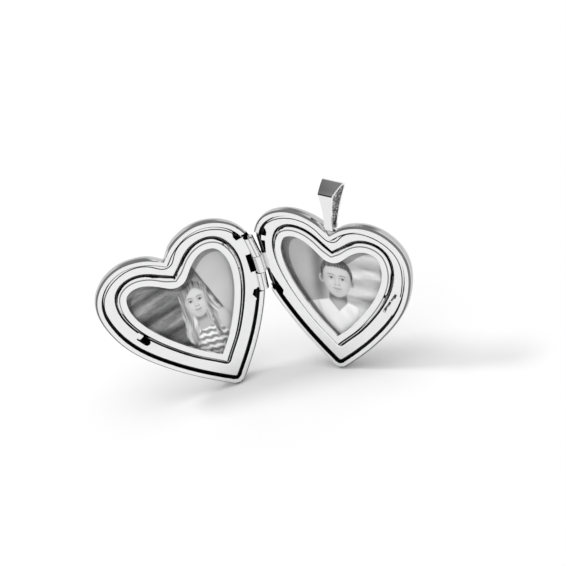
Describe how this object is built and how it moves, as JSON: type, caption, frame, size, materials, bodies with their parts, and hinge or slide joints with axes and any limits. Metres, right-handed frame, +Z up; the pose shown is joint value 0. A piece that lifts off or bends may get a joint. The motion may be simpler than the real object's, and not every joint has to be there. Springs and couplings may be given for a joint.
{
  "type": "heart photo locket",
  "caption": "Polished heart-shaped photo locket standing open like a book, with a picture in a frame in each half, a barrel hinge and a tapered bail.",
  "frame": {"origin": "centre of the bail's eye, where the chain passes", "axes": "+X along the chain's way through the bail, towards the catch side of the back half; +Y to the back of the back half; +Z up, from the heart to the bail"},
  "size_m": [0.0334, 0.0136, 0.0267],
  "materials": {
    "silver_polished": "bright polished rhodium-plated silver",
    "silver_plate": "polished, slightly softened by polishing marks",
    "silver_frame": "bright polished",
    "silver_bail": "bright polished sheet",
    "silver_knuckle": "polished drawn tube",
    "silver_wire": "bright wire",
    "clear_cover": "clear acetate film",
    "photo_print": "satin black-and-white print"
  },
  "bodies": {
    "bail": {"bail": "silver_bail"},
    "back_half": {"back_shell": "silver_polished", "back_plate": "silver_plate", "back_photo_cover": "clear_cover", "back_photo": "photo_print", "middle_knuckle": "silver_knuckle", "hinge_pin": "silver_wire", "bail_loop": "silver_wire"},
    "front_half": {"front_shell": "silver_polished", "front_plate": "silver_plate", "front_photo_cover": "clear_cover", "front_photo": "photo_print", "upper_knuckle": "silver_knuckle", "lower_knuckle": "silver_knuckle"},
    "back_frame": {"back_photo_frame": "silver_frame"},
    "front_frame": {"front_photo_frame": "silver_frame"},
    "catch": {"catch_tongue": "silver_wire"}
  },
  "joints": [
    {"name": "bail_swing", "type": "hinge", "parent": "bail", "child": "back_half", "pos_m": [0, -0.00045, -0.0039], "axis": [1, 0, 0], "range_deg": [-84, 60]},
    {"name": "cover_hinge", "type": "hinge", "parent": "back_half", "child": "front_half", "pos_m": [-0.00879, -0.001, -0.0107], "axis": [0.2165, 0, -0.9763], "range_deg": [-143.18, 36]},
    {"name": "back_frame_lift", "type": "slide", "parent": "back_half", "child": "back_frame", "axis": [0, -1, 0], "range_m": [0, 0.0012]},
    {"name": "front_frame_lift", "type": "slide", "parent": "front_half", "child": "front_frame", "axis": [0.5851, -0.8005, 0.1298], "range_m": [0, 0.0012]},
    {"name": "catch_flex", "type": "hinge", "parent": "back_half", "child": "catch", "pos_m": [0.00656, -0.00083, -0.01241], "axis": [0.3778, 0, 0.9259], "range_deg": [-4, 4], "stiffness_Nm_per_rad": 0.01}
  ]
}
